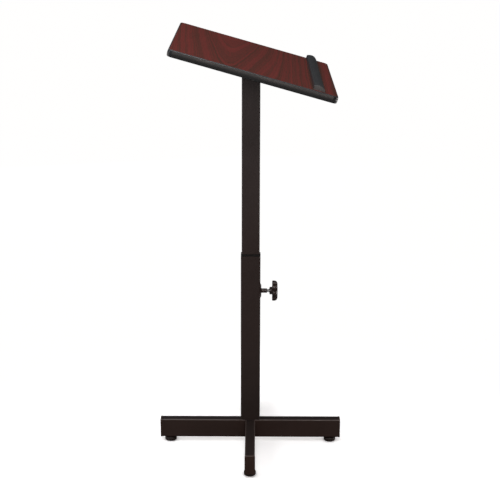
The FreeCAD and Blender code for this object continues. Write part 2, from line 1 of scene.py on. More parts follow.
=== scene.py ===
# A reading stand: a base frame on four screw feet, a column with a mast that a star knob clamps,
# and a tilted mahogany desk with a book stop. Row frame: metres, +Z up, long leg along X, cross
# legs out to -Y (left) and +Y (right). The desk slopes down towards +X and the clamp screw lies
# along X with its knob at the +X end. The camera looks along +Y.
import json
import math

import bmesh
import bpy
import numpy as np
from mathutils import Matrix, Vector


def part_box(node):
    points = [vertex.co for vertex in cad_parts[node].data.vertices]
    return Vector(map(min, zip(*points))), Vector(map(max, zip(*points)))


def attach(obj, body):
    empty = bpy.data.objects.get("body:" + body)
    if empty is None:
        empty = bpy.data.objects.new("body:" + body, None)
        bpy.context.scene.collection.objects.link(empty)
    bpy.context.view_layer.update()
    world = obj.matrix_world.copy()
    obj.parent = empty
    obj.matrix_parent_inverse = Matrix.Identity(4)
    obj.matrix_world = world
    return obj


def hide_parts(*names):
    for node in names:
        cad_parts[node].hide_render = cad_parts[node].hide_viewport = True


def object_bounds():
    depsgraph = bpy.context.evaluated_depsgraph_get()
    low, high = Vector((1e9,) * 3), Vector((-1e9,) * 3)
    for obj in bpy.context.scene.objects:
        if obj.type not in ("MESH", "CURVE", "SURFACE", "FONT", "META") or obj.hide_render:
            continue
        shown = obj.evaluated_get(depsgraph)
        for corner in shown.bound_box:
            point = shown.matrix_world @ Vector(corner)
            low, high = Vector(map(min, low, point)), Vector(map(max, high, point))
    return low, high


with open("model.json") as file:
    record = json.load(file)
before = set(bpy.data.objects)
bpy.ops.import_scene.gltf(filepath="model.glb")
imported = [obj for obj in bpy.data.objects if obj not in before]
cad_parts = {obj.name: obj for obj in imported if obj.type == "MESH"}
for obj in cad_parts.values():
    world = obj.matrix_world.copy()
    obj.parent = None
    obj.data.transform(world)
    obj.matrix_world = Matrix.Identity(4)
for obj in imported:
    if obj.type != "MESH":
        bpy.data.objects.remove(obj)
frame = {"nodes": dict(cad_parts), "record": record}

CAD_LOW, CAD_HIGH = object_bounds()
RECORD = frame["record"]
NODES = frame["nodes"]
SCENE = bpy.context.scene


def centre(name):
    low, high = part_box(name)
    return (low + high) / 2


# ------------------------------------------------------------------ desk frame
# u runs down the slope, v across it, w out of the top face
FACE = next(mount for mount in RECORD["mounts"] if mount["name"] == "reading_surface")
W_AXIS = Vector(FACE["axis"]).normalized()
TILT = math.atan2(W_AXIS.x, W_AXIS.z)
U_AXIS = Vector((math.cos(TILT), 0.0, -math.sin(TILT)))
V_AXIS = Vector((0.0, 1.0, 0.0))
ORIGIN = Vector(FACE["pos_m"])


def desk(u, v, w):
    """A point of the desk frame, in the row frame."""
    return ORIGIN + U_AXIS * u + V_AXIS * v + W_AXIS * w


def desk_span(name, axis):
    """Least and greatest place of a CAD piece along one axis of the desk frame."""
    places = [(vertex.co - ORIGIN).dot(axis) for vertex in NODES[name].data.vertices]
    return min(places), max(places)


# ------------------------------------------------------------------ shader graphs
def rgb(*display):
    """Display values 0 to 255 as linear colour."""
    def linear(c):
        return c / 255 / 12.92 if c <= 10.31475 else ((c / 255 + 0.055) / 1.055) ** 2.4
    return tuple(linear(c) for c in display) + (1.0,)


def scaled(colour, factor):
    return tuple(c * factor for c in colour[:3]) + (1,)


class Graph:
    """The node tree of a material or world, with short names for its nodes."""

    def __init__(self, owner, output="ShaderNodeOutputMaterial"):
        self.owner = owner
        owner.use_nodes = True
        self.tree = owner.node_tree
        self.tree.nodes.clear()
        self.out = self.node(output)

    def put(self, socket, value):
        """Links or sets an input; None leaves it alone."""
        if isinstance(value, bpy.types.NodeSocket):
            self.tree.links.new(value, socket)
        elif value is not None:
            socket.default_value = value

    def node(self, kind, **props):
        node = self.tree.nodes.new(kind)
        for key, value in props.items():
            setattr(node, key, value)
        return node

    def filled(self, kind, inputs, **props):
        """A node with its inputs, keyed by name or number, linked or set."""
        node = self.node(kind, **props)
        for key, value in inputs.items():
            self.put(node.inputs[key], value)
        return node

    # places and directions
    def place(self):
        return self.node("ShaderNodeTexCoord").outputs["Object"]

    def desk_place(self):
        inputs = {"Vector": self.place(), "Location": ORIGIN, "Rotation": (0.0, TILT, 0.0)}
        return self.filled("ShaderNodeMapping", inputs, vector_type="TEXTURE").outputs[0]

    def normal(self):
        return self.node("ShaderNodeNewGeometry").outputs["Normal"]

    def upward(self):
        """1 on level faces that look up, 0 on walls, -1 on undersides."""
        return self.split(self.normal())[2]

    def split(self, vector):
        outputs = self.filled("ShaderNodeSeparateXYZ", {0: vector}).outputs
        return outputs[0], outputs[1], outputs[2]

    def join(self, x, y, z):
        return self.filled("ShaderNodeCombineXYZ", {0: x, 1: y, 2: z}).outputs[0]

    # textures: a scale of three numbers stretches the place first
    def texture(self, kind, vector, scale, inputs, **props):
        if isinstance(scale, tuple):
            stretch = {0: vector, 1: scale}
            vector = self.filled("ShaderNodeVectorMath", stretch, operation="MULTIPLY").outputs[0]
            scale = 1
        return self.filled(kind, {"Vector": vector, "Scale": scale, **inputs}, **props)

    def noise(self, vector, scale=1, detail=2, rough=0.5, twist=0):
        inputs = {"Detail": detail, "Roughness": rough, "Distortion": twist}
        return self.texture("ShaderNodeTexNoise", vector, scale, inputs,
                            noise_dimensions="3D").outputs["Fac"]

    def line_noise(self, w, scale, detail, rough):
        inputs = {"W": w, "Scale": scale, "Detail": detail, "Roughness": rough}
        return self.filled("ShaderNodeTexNoise", inputs, noise_dimensions="1D").outputs["Fac"]

    def cells(self, vector, scale, output):
        return self.texture("ShaderNodeTexVoronoi", vector, scale, {"Randomness": 1.0},
                            feature="F1").outputs[output]

    # arithmetic
    def math(self, operation, first, second=None, clamp=False):
        return self.filled("ShaderNodeMath", {0: first, 1: second}, operation=operation,
                           use_clamp=clamp).outputs[0]

    def mul(self, product, *factors):
        for factor in factors:
            product = self.math("MULTIPLY", product, factor)
        return product

    def plus(self, first, second, clamp=False):
        return self.math("ADD", first, second, clamp)

    def minus(self, first, second):
        return self.math("SUBTRACT", first, second)

    def span(self, value, source, to=(0.0, 1.0), smooth=True):
        """The value's source range mapped to another range, held at both ends."""
        inputs = {"Value": value, "From Min": source[0], "From Max": source[1],
                  "To Min": to[0], "To Max": to[1]}
        shape = "SMOOTHSTEP" if smooth else "LINEAR"
        return self.filled("ShaderNodeMapRange", inputs, interpolation_type=shape).outputs["Result"]

    # colour
    def mix(self, amount, first, second, how="MIX"):
        return self.filled("ShaderNodeMix", {0: amount, 6: first, 7: second},
                           data_type="RGBA", blend_type=how).outputs[2]

    def tint(self, amount, tone, factors):
        """The tone, multiplied channel by channel by the factors where amount is 1."""
        return self.mix(amount, tone, self.mix(1.0, tone, factors + (1,), "MULTIPLY"))

    def ramp(self, amount, *stops):
        node = self.node("ShaderNodeValToRGB")
        elements = node.color_ramp.elements
        while len(elements) < len(stops):
            elements.new(0.5)
        for element, (position, colour) in zip(elements, stops):
            element.position = position
            element.color = colour
        self.put(node.inputs[0], amount)
        return node.outputs[0]

    # shaders
    def camera_switch(self, unseen, seen):
        """Ends the graph: one shader for camera rays and another for all other rays."""
        camera_ray = self.node("ShaderNodeLightPath").outputs["Is Camera Ray"]
        switch = self.filled("ShaderNodeMixShader", {0: camera_ray, 1: unseen, 2: seen})
        self.put(self.out.inputs[0], switch.outputs[0])


class Paint(Graph):
    """A new material with one Principled shader."""

    def __init__(self, name):
        super().__init__(bpy.data.materials.new(name))
        self.bsdf = self.node("ShaderNodeBsdfPrincipled")
        self.put(self.out.inputs[0], self.bsdf.outputs[0])

    def bump(self, height, depth, strength, under=None):
        inputs = {"Strength": strength, "Distance": depth, "Height": height, "Normal": under}
        return self.filled("ShaderNodeBump", inputs).outputs[0]

    def edges(self, radius):
        """1 on edges sharper than the radius, 0 on flats."""
        bevel = self.filled("ShaderNodeBevel", {"Radius": radius}, samples=6)
        agreement = self.filled("ShaderNodeVectorMath", {0: bevel.outputs[0], 1: self.normal()},
                                operation="DOT_PRODUCT")
        return self.span(agreement.outputs["Value"], (0.995, 0.90))

    def highlight_crest(self):
        """1 on faces that lean between upright and level, as on rounded upper edges; it marks where
        painted highlights go.
        """
        up = self.upward()
        return self.mul(self.span(up, (0.15, 0.45)), self.span(up, (0.90, 0.995), to=(1.0, 0.0)))

    def graze(self, tone, spec):
        """A rough skin shadows itself: tone and reflection both fall off at grazing angles."""
        facing = self.node("ShaderNodeLayerWeight").outputs["Facing"]
        grazing = self.span(facing, (0.50, 0.96))
        level = self.mul(self.minus(1.0, self.mul(grazing, 0.8)), spec)
        return self.tint(grazing, tone, (0.5, 0.5, 0.5)), level

    def finish(self, tone, rough, normal, spec=None, metallic=None):
        values = {"Base Color": tone, "Roughness": rough, "Normal": normal,
                  "Specular IOR Level": spec, "Metallic": metallic}
        for key, value in values.items():
            self.put(self.bsdf.inputs[key], value)
        return self.owner


# ------------------------------------------------------------------ materials
def powder_coat(name, low, high, heights, rough=0.46, grain=1.0, rub=0.0, wear=0.5):
    """Satin powder coat, low to high tone over the heights, which paints shade darkening and
    warming
    it towards the floor: pebbled skin, slight tone drift, rubbed edges and a painted highlight on
    rounded upper edges where there is wear, painted shade and reflection tinting level tops darker
    and cooler, and rub lines along Z where there is rub."""
    p = Paint(name)
    at = p.place()
    z = p.split(at)[2]
    # painted shade: the tone runs from low at the lower height to high at the upper one, darker and
    # browner towards the floor
    tone = p.mix(p.span(z, heights, smooth=False), low, high)
    cloud = p.noise(at, scale=14, detail=3, rough=0.55)
    tone = p.tint(p.span(cloud, (0.35, 0.68), to=(0.0, 0.28)), tone, (1.35, 1.3, 1.28))
    fleck = p.noise(at, scale=2600, detail=1, rough=0.5)
    tone = p.tint(p.span(fleck, (0.62, 0.74), to=(0.0, 0.35)), tone, (1.9, 1.9, 1.95))
    if wear:
        chips = p.span(p.noise(at, scale=150, detail=4, rough=0.65), (0.42, 0.62))
        chipped = p.mul(p.edges(radius=0.0016), chips, 0.34 * wear)
        tone = p.mix(chipped, tone, rgb(104, 101, 99))
        # painted highlight: rounded upper edges lightened towards a pale grey, standing in for the
        # highlight of the lamps above
        highlight_crest = p.highlight_crest()
        tone = p.mix(p.mul(highlight_crest, 0.60 * wear), tone, rgb(118, 108, 104))
    if rub:
        lines = p.noise(at, scale=(620, 620, 5), detail=3, rough=0.6)
        patches = p.noise(at, scale=9, detail=2, rough=0.5)
        streak = p.mul(p.span(lines, (0.60, 0.70)), p.span(patches, (0.45, 0.62)))
        tone = p.mix(p.mul(streak, 0.16 * rub), tone, rgb(92, 92, 94))
    settled = p.span(p.noise(at, scale=60, detail=5, rough=0.7), (0.38, 0.72))
    dust = p.mul(p.span(p.upward(), (0.6, 1.0)), settled)
    tone = p.mix(p.mul(dust, 0.004), tone, rgb(150, 146, 140))
    # painted shade and reflection: level top faces are tinted darker and cooler
    tone = p.tint(p.span(p.upward(), (0.93, 1.0)), tone, (0.70, 0.92, 1.12))
    roughness = p.plus(p.span(cloud, (0.3, 0.7), to=(rough - 0.05, rough + 0.06)),
                       p.span(fleck, (0.3, 0.7), to=(-0.03, 0.03)))
    if rub:
        roughness = p.minus(roughness, p.mul(streak, 0.10))
    if wear:
        roughness = p.minus(roughness, p.mul(highlight_crest, 0.10))
    pebble = p.noise(at, scale=1250, detail=2, rough=0.55)
    peel = p.noise(at, scale=330, detail=1, rough=0.4)
    skin = p.bump(peel, depth=0.00006 * grain, strength=0.5)
    skin = p.bump(pebble, depth=0.00004 * grain, strength=0.6, under=skin)
    tone, level = p.graze(tone, spec=0.42)
    return p.finish(tone, p.plus(roughness, 0.0, clamp=True), skin, level)


def moulded(name, colour, rough, scale=2100, depth=0.00003, lighten=1.25, wear=0.4, spec=0.4,
            highlight_crest=0.0):
    """Moulded plastic: fine eroded skin (scale, depth), faint flow marks, polished edges and an
    optional painted highlight on rounded upper edges.
    """
    p = Paint(name)
    at = p.place()
    flow = p.noise(at, scale=(22, 22, 60), detail=4, rough=0.6, twist=0.6)
    tone = p.mix(p.span(flow, (0.35, 0.7), to=(0.0, 0.6)), colour, scaled(colour, lighten))
    if wear:
        patches = p.span(p.noise(at, scale=240, detail=3, rough=0.6), (0.35, 0.65))
        worn = p.mul(p.edges(radius=0.0008), patches, 0.22 * wear)
        tone = p.mix(worn, tone, rgb(96, 93, 90))
    # painted highlight: rounded upper edges lightened towards a pale grey
    if highlight_crest:
        tone = p.mix(p.mul(p.highlight_crest(), highlight_crest), tone, rgb(112, 104, 100))
    skin = p.noise(at, scale=scale, detail=2, rough=0.6)
    mottle = p.noise(at, scale=75, detail=3, rough=0.5)
    roughness = p.plus(p.span(mottle, (0.3, 0.7), to=(rough - 0.05, rough + 0.05)),
                       p.span(skin, (0.3, 0.7), to=(-0.04, 0.04)), clamp=True)
    normal = p.bump(mottle, depth=0.00005, strength=0.25)
    normal = p.bump(skin, depth=depth, strength=0.7, under=normal)
    tone, level = p.graze(tone, spec)
    return p.finish(tone, roughness, normal, level)


def mahogany():
    """Mahogany laminate: plain-sawn figure with a cathedral, fibre streaks and open pores."""
    heart_u = -0.060        # slope place of the cathedral's middle line
    heart_round = 0.026     # how blunt the cathedral's arches are
    p = Paint("mahogany_laminate")
    at = p.desk_place()
    u, v, _ = p.split(at)

    # growth rings: a cone cut lengthwise, with its lines wandering a little
    drift = p.noise(at, scale=(7.0, 1.1, 1.0), detail=1, rough=0.5)
    wobble = p.noise(at, scale=(55.0, 6.0, 1.0), detail=3, rough=0.55)
    wandered = p.plus(u, p.mul(p.minus(drift, 0.5), 0.026))
    wandered = p.plus(wandered, p.mul(p.minus(wobble, 0.5), 0.009))
    x = p.plus(wandered, -heart_u)
    cone = p.math("SQRT", p.plus(p.mul(x, x), heart_round ** 2))
    lean = p.plus(p.span(x, (-0.10, 0.01), to=(0.045, 0.105)),
                  p.span(x, (0.06, 0.17), to=(0.0, -0.100)))
    ring = p.minus(cone, p.mul(v, lean))
    wide = p.line_noise(ring, scale=62.0, detail=1, rough=0.5)
    fine = p.line_noise(ring, scale=270.0, detail=3, rough=0.62)

    fibre = p.noise(at, scale=(640, 8, 1), detail=3, rough=0.6)
    thread = p.noise(at, scale=(2300, 34, 1), detail=2, rough=0.5)
    pore = p.span(p.noise(at, scale=(1500, 52, 1), detail=1, rough=0.4), (0.635, 0.70))
    figure = p.plus(p.mul(wide, 0.50), p.mul(fine, 0.50))
    figure = p.plus(figure, p.mul(p.minus(fibre, 0.5), 0.42))
    figure = p.plus(figure, p.mul(p.minus(thread, 0.5), 0.18))
    tone = p.ramp(p.span(figure, (0.29, 0.71), smooth=False),
                  (0.00, rgb(66, 38, 27)), (0.34, rgb(81, 40, 32)),
                  (0.62, rgb(97, 40, 34)), (1.00, rgb(110, 43, 38)))
    down_slope = p.span(u, (-0.19, 0.14), smooth=False)
    tone = p.tint(p.mul(down_slope, 0.40), tone, (0.80, 0.95, 0.93))
    tone = p.tint(p.mul(pore, 0.55), tone, (0.42, 0.46, 0.48))

    rubbed = p.noise(at, scale=13, detail=4, rough=0.6)
    skin = p.noise(at, scale=(1500, 1500, 1), detail=2, rough=0.5)
    roughness = p.plus(p.span(rubbed, (0.3, 0.7), to=(0.445, 0.485)), p.mul(pore, 0.12),
                       clamp=True)
    relief = p.minus(p.mul(skin, 0.35), p.mul(pore, 0.8))
    relief = p.plus(relief, p.mul(fibre, 0.4))
    return p.finish(tone, roughness, p.bump(relief, depth=0.00004, strength=0.6), spec=0.16)


def extruded_skin(p, at, colour, lines, broad, rough):
    """Tone, roughness and normal of extruded vinyl, from its fine and broad die lines."""
    bloom = p.noise(at, scale=26, detail=4, rough=0.6)
    tone = p.mix(p.span(lines, (0.35, 0.68), to=(0.0, 0.5)), colour, scaled(colour, 1.12))
    tone = p.tint(p.span(bloom, (0.4, 0.75), to=(0.0, 0.30)), tone, (1.18, 1.18, 1.20))
    scuff = p.span(p.noise(at, scale=(90, 90, 90), detail=6, rough=0.75), (0.63, 0.72))
    tone = p.mix(p.mul(scuff, 0.10), tone, rgb(120, 118, 116))
    roughness = p.plus(p.span(bloom, (0.3, 0.7), to=(rough - 0.04, rough + 0.05)),
                       p.span(lines, (0.3, 0.7), to=(-0.03, 0.04)), clamp=True)
    normal = p.bump(broad, depth=0.00003, strength=0.20)
    normal = p.bump(lines, depth=0.000015, strength=0.35, under=normal)
    return tone, roughness, normal


def edge_vinyl():
    """Vinyl round the desk's edge, with a butt seam on its upper (-u) side."""
    seam_v = 0.031
    p = Paint("edge_vinyl")
    at = p.desk_place()
    u, v, w = p.split(at)
    lines = p.noise(p.join(p.mul(u, 4), p.mul(v, 4), p.mul(w, 2600)), detail=2, rough=0.6)
    broad = p.noise(p.join(p.mul(u, 3), p.mul(v, 3), p.mul(w, 560)), detail=2, rough=0.5)
    tone, roughness, normal = extruded_skin(p, at, rgb(26, 29, 32), lines, broad, rough=0.34)
    gap = p.span(p.math("ABSOLUTE", p.minus(v, seam_v)), (0.0006, 0.0002))
    gap = p.mul(gap, p.span(u, (-0.190, -0.196)))
    tone = p.mix(p.mul(gap, 0.85), tone, rgb(8, 8, 8))
    normal = p.bump(p.minus(1.0, gap), depth=0.0004, strength=1.0, under=normal)
    # painted shade where the section turns under, darker and duller there, and a painted highlight
    # where it faces up, paler there
    up = p.upward()
    tone = p.tint(p.span(up, (-0.12, 0.42), to=(0.60, 0.0)), tone, (0.45, 0.42, 0.40))
    tone = p.mix(p.span(up, (0.45, 0.95), to=(0.0, 0.55)), tone, rgb(70, 66, 66))
    roughness = p.plus(roughness, p.span(up, (-0.10, 0.40), to=(0.16, 0.0)), clamp=True)
    return p.finish(tone, roughness, normal, spec=0.46)


def stop_vinyl():
    """Vinyl of the book stop, with die lines along v and brighter saw-cut ends."""
    half_length = 0.240
    p = Paint("stop_vinyl")
    at = p.desk_place()
    v = p.split(at)[1]
    lines = p.noise(at, scale=(2600, 2.5, 2600), detail=2, rough=0.6)
    broad = p.noise(at, scale=(520, 1.6, 520), detail=2, rough=0.5)
    tone, roughness, normal = extruded_skin(p, at, rgb(41, 41, 42), lines, broad, rough=0.40)
    cut = p.span(p.math("ABSOLUTE", v), (half_length - 0.0005, half_length - 0.0001))
    saw = p.noise(at, scale=(300, 300, 1400), detail=3, rough=0.7)
    sawn = p.mix(p.span(saw, (0.3, 0.7)), rgb(62, 61, 61), rgb(78, 77, 77))
    tone = p.mix(cut, tone, sawn)
    roughness = p.plus(roughness, p.mul(cut, 0.16), clamp=True)
    normal = p.bump(p.mul(saw, cut, 1.0), depth=0.00012, strength=0.8, under=normal)
    return p.finish(tone, roughness, normal, spec=0.5)


def zinc():
    """Bright zinc plate: crystalline mottling, a faint warm and cool tint, small stains."""
    p = Paint("zinc_steel")
    at = p.place()
    crystals = p.cells(at, scale=900, output="Color")
    cast = p.noise(at, scale=95, detail=3, rough=0.5)
    tone = p.ramp(cast, (0.30, rgb(206, 212, 220)), (0.55, rgb(224, 224, 220)),
                  (0.75, rgb(228, 220, 200)))
    tone = p.mix(0.10, tone, crystals, "MULTIPLY")
    stain = p.span(p.noise(at, scale=420, detail=5, rough=0.7), (0.60, 0.72))
    tone = p.mix(p.mul(stain, 0.35), tone, rgb(120, 112, 98))
    roughness = p.span(p.noise(at, scale=700, detail=3, rough=0.6), (0.3, 0.7), to=(0.29, 0.48))
    pitting = p.noise(at, scale=1700, detail=3, rough=0.6)
    return p.finish(tone, roughness, p.bump(pitting, depth=0.00002, strength=0.6), metallic=0.80)


def particle_board():
    chip_scale = (420, 420, 900)
    p = Paint("particle_board")
    at = p.place()
    shade = p.split(p.cells(at, scale=chip_scale, output="Color"))[0]
    tone = p.mix(p.span(shade, (0.0, 1.0)), rgb(196, 162, 112), rgb(140, 104, 66))
    dust = p.noise(at, scale=1500, detail=3, rough=0.6)
    tone = p.mix(p.span(dust, (0.4, 0.7), to=(0.0, 0.5)), tone, rgb(110, 80, 52))
    relief = p.cells(at, scale=chip_scale, output="Distance")
    return p.finish(tone, 0.85, p.bump(relief, depth=0.0003, strength=0.8))


def backing_black():
    """Black backing sheet: sanded, with a faint crossed fibre print."""
    p = Paint("backing_black")
    at = p.desk_place()
    fibre = p.mul(p.noise(at, scale=(60, 900, 1), detail=3, rough=0.6),
                  p.noise(at, scale=(900, 60, 1), detail=3, rough=0.6))
    tone = p.mix(p.span(fibre, (0.18, 0.36)), rgb(34, 31, 30), rgb(52, 48, 46))
    smear = p.noise(at, scale=11, detail=5, rough=0.65)
    tone = p.mix(p.span(smear, (0.5, 0.75), to=(0.0, 0.3)), tone, rgb(66, 62, 60))
    roughness = p.span(smear, (0.3, 0.7), to=(0.55, 0.70))
    return p.finish(tone, roughness, p.bump(fibre, depth=0.00008, strength=0.6), spec=0.35)


def knob_plastic():
    """Semi-gloss black phenolic: moulding swirls and polished edges."""
    p = Paint("knob_plastic")
    at = p.place()
    swirl = p.noise(at, scale=130, detail=5, rough=0.65, twist=0.8)
    tone = p.mix(p.span(swirl, (0.35, 0.7)), rgb(32, 21, 17), rgb(44, 30, 24))
    patches = p.span(p.noise(at, scale=320, detail=3, rough=0.6), (0.4, 0.7))
    polished = p.mul(p.edges(radius=0.0012), patches, 0.12)
    tone = p.mix(polished, tone, rgb(110, 104, 98))
    roughness = p.span(p.noise(at, scale=210, detail=4, rough=0.6), (0.3, 0.7), to=(0.34, 0.46))
    waves = p.noise(at, scale=520, detail=2, rough=0.5)
    skin = p.noise(at, scale=2600, detail=2, rough=0.6)
    normal = p.bump(waves, depth=0.00005, strength=0.35)
    normal = p.bump(skin, depth=0.000015, strength=0.6, under=normal)
    return p.finish(tone, roughness, normal, spec=0.45)


# coat tones by height: COAT_FOOT, COAT_LOW and COAT_HIGH grade the column darker and browner
# towards the floor as painted shade; COAT_LEG is the legs' own darker coat
COAT_FOOT, COAT_LOW, COAT_HIGH = rgb(33, 22, 18), rgb(40, 27, 24), rgb(45, 39, 41)
COAT_LEG = rgb(42, 26, 20)

MATERIALS = {
    "column_low": powder_coat("powder_coat_column", COAT_FOOT, COAT_LOW, heights=(0.06, 0.30)),
    "column_high": powder_coat("powder_coat_mast", COAT_LOW, COAT_HIGH, heights=(0.52, 0.98),
                               rub=0.8, wear=0.4),
    "leg": powder_coat("powder_coat_leg", COAT_LEG, COAT_LEG, heights=(0.0, 0.06)),
    "weld": powder_coat("powder_coat_weld", COAT_LEG, COAT_LOW, heights=(0.05, 0.6),
                        rough=0.40, grain=2.0, wear=0.0),
    # the end caps get a painted highlight along their rounded upper edges
    "black_plastic": moulded("black_plastic", rgb(46, 27, 18), rough=0.48, highlight_crest=0.7),
    "collar": moulded("collar_plastic", rgb(16, 15, 15), rough=0.60, spec=0.22, wear=0.1),
    "foot_plastic": moulded("foot_plastic", rgb(32, 22, 18), rough=0.42, scale=1500,
                            depth=0.00004, wear=0.5),
    "knob_plastic": knob_plastic(),
    "nylon": moulded("nylon", rgb(206, 199, 182), rough=0.42, lighten=1.06, wear=0.0),
    "zinc_steel": zinc(),
    "mahogany_laminate": mahogany(),
    "particle_board": particle_board(),
    "backing_black": backing_black(),
    "edge_vinyl": edge_vinyl(),
    "stop_vinyl": stop_vinyl(),
}

# CAD pieces whose material is not simply the one named by their slot
SPECIAL = {
    "lower_column": "column_low", "column_foot_plate": "column_low",
    "clamp_boss_plate": "column_low", "clamp_sleeve": "column_low",
    "upper_column": "column_high", "mounting_plate": "column_high",
    "long_leg": "leg", "cross_leg_left": "leg", "cross_leg_right": "leg",
    "column_collar": "collar",
}


def paint_cad_pieces():
    slot_of = {part["node"]: part["material_slot"] for part in RECORD["subparts"]}
    for name, obj in NODES.items():
        material = MATERIALS[SPECIAL.get(name, slot_of[name])]
        for i in range(len(obj.data.materials)):
            obj.data.materials[i] = material


paint_cad_pieces()


# ------------------------------------------------------------------ mesh tools
def piece(name, shape, body, slot, material=None, stands_for=None, sharp=None):
    """An object from (vertices, faces), riding on a body; sharp is the crease angle in degrees."""
    verts, faces = shape
    mesh = bpy.data.meshes.new(name)
    mesh.from_pydata([tuple(v) for v in verts], [], [tuple(f) for f in faces])
    mesh.validate()
    bm = bmesh.new()
    bm.from_mesh(mesh)
    bmesh.ops.remove_doubles(bm, verts=bm.verts[:], dist=2e-7)
    loose = [v for v in bm.verts if not v.link_faces]
    bmesh.ops.delete(bm, geom=loose, context="VERTS")
    bmesh.ops.recalc_face_normals(bm, faces=bm.faces[:])
    bm.to_mesh(mesh)
    bm.free()
    mesh.materials.append(MATERIALS[material or slot])
    obj = bpy.data.objects.new(name, mesh)
    SCENE.collection.objects.link(obj)
    mesh.shade_smooth()
    if sharp is not None:
        mesh.set_sharp_from_angle(angle=math.radians(sharp))
    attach(obj, body)
    if stands_for:
        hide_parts(stands_for)


def combined(first, second):
    """Two shapes as one."""
    verts = list(first[0]) + list(second[0])
    start = len(first[0])
    return verts, list(first[1]) + [tuple(i + start for i in face) for face in second[1]]


def lathe(profile, origin, steps):
    """A closed profile [(radius, height)] turned about +Z; the radius is 0 at both ends."""
    axis = Vector((0, 0, 1))
    side = axis.orthogonal().normalized()
    other = axis.cross(side)
    rows = profile[1:-1]
    verts = [origin + axis * profile[0][1]]
    for radius, height in rows:
        for i in range(steps):
            angle = 2 * math.pi * i / steps
            spoke = side * math.cos(angle) + other * math.sin(angle)
            verts.append(origin + axis * height + spoke * radius)
    verts.append(origin + axis * profile[-1][1])
    last = len(verts) - 1
    top = 1 + (len(rows) - 1) * steps
    faces = []
    for i in range(steps):
        j = (i + 1) % steps
        faces.append((0, 1 + j, 1 + i))
        for k in range(len(rows) - 1):
            a, b = 1 + k * steps, 1 + (k + 1) * steps
            faces.append((a + i, a + j, b + j, b + i))
        faces.append((top + i, top + j, last))
    return verts, faces


def sweep_faces(rings, around, closed=False):
    """Quads between successive rings of points, capped at both ends unless closed on itself."""
    faces = []
    for k in range(rings if closed else rings - 1):
        a, b = k * around, (k + 1) % rings * around
        for i in range(around):
            j = (i + 1) % around
            faces.append((a + i, a + j, b + j, b + i))
    if not closed:
        faces.append(tuple(reversed(range(around))))
        faces.append(tuple(range((rings - 1) * around, rings * around)))
    return faces


THREAD_RADIUS, THREAD_DEPTH, THREAD_PITCH = 0.004, 0.00068, 0.00125
THREAD_AROUND = 48      # points round the rod
THREAD_ROWS = 16        # rows in one turn


def threaded_rod(origin, axis, side, start, end):
    """A right-handed V thread from start to end along the axis, tapered at both ends."""
    axis, side = Vector(axis), Vector(side)
    other = axis.cross(side)
    row_step = THREAD_PITCH / THREAD_ROWS
    rows = int(math.ceil((end - start) / row_step)) + THREAD_ROWS
    core = THREAD_RADIUS - THREAD_DEPTH
    verts = [origin + axis * start]
    for k in range(rows + 1):
        # 0 at the crest, 1 at the root, with a small flat at each
        flank = abs((k % THREAD_ROWS) / THREAD_ROWS - 0.5) * 2
        flank = min(max((flank - 0.10) / 0.78, 0.0), 1.0)
        for i in range(THREAD_AROUND):
            angle = 2 * math.pi * i / THREAD_AROUND
            height = start + (k - THREAD_ROWS + i / THREAD_AROUND * THREAD_ROWS) * row_step
            height = min(max(height, start), end)
            to_end = min(height - start, end - height)
            radius = min(THREAD_RADIUS - THREAD_DEPTH * flank, core - 0.0001 + to_end * 0.9)
            spoke = side * math.cos(angle) + other * math.sin(angle)
            verts.append(origin + axis * height + spoke * radius)
    verts.append(origin + axis * end)
    last = len(verts) - 1
    top = 1 + rows * THREAD_AROUND
    faces = []
    for i in range(THREAD_AROUND):
        j = (i + 1) % THREAD_AROUND
        # the helix joins one turn further on where it passes the seam
        wrap = THREAD_ROWS if j == 0 else 0
        for k in range(rows - wrap):
            a = 1 + k * THREAD_AROUND
            b = a + THREAD_AROUND
            shift = wrap * THREAD_AROUND + j
            faces.append((a + i, a + shift, b + shift, b + i))
        faces.append((0, 1 + j, 1 + i))
        faces.append((last, top + i, top + j))
    return verts, faces


def bead(track, size, seed, closed=False, ripple=0.0019):
    """A weld bead along a track [(point, outward)]: a flattened round, pulsing with ripples."""
    around = 12
    count = len(track)
    points = [point for point, _ in track]
    drift = np.random.default_rng(seed).normal(0, 1, count)
    drift = np.convolve(np.r_[drift[-4:], drift, drift[:4]], np.ones(9) / 9, "valid")
    verts = []
    run = 0.0
    for k, (point, outward) in enumerate(track):
        before = points[k - 1] if closed or k else point
        after = points[(k + 1) % count] if closed or k < count - 1 else point
        along = (after - before).normalized()
        if k:
            run += (point - points[k - 1]).length
        out = (outward - along * outward.dot(along)).normalized()
        flat = along.cross(out)
        phase = (run / ripple) % 1.0
        radius = size * (1 + 0.10 * (1 - phase) ** 2 - 0.05 + 0.10 * drift[k])
        if not closed:
            to_end = min(k, count - 1 - k) / 6.0
            radius *= min(1.0, 0.35 + 0.65 * math.sqrt(min(1.0, to_end)))
        for i in range(around):
            angle = 2 * math.pi * i / around
            lag = along * (0.0005 * math.cos(angle) * radius / size)
            across = flat * (math.sin(angle) * radius)
            verts.append(point + out * (math.cos(angle) * radius * 0.72) + across + lag)
    return verts, sweep_faces(count, around, closed)


def gradient(field, points, probe=0.02):
    columns = []
    for axis in range(3):
        step = np.zeros(3)
        step[axis] = probe
        columns.append(field(*(points + step).T) - field(*(points - step).T))
    return np.stack(columns, 1) / (2 * probe)


def settle(field, verts, faces):
    """Evens the quads out along the surface, then draws the points onto field = 0."""
    pairs = np.array([(face[i], face[(i + 1) % 4]) for face in faces for i in range(4)])
    neighbours = np.maximum(np.bincount(pairs[:, 0], minlength=len(verts)), 1)[:, None]
    for step in range(6):
        if step < 4:
            total = np.zeros_like(verts)
            np.add.at(total, pairs[:, 0], verts[pairs[:, 1]])
            verts = verts * 0.5 + 0.5 * total / neighbours
        for _ in range(2):
            value = field(*verts.T)
            slope = gradient(field, verts)
            steepness = np.maximum((slope * slope).sum(1), 0.2)
            verts = verts - np.clip(value / steepness, -0.3, 0.3)[:, None] * slope
    return verts


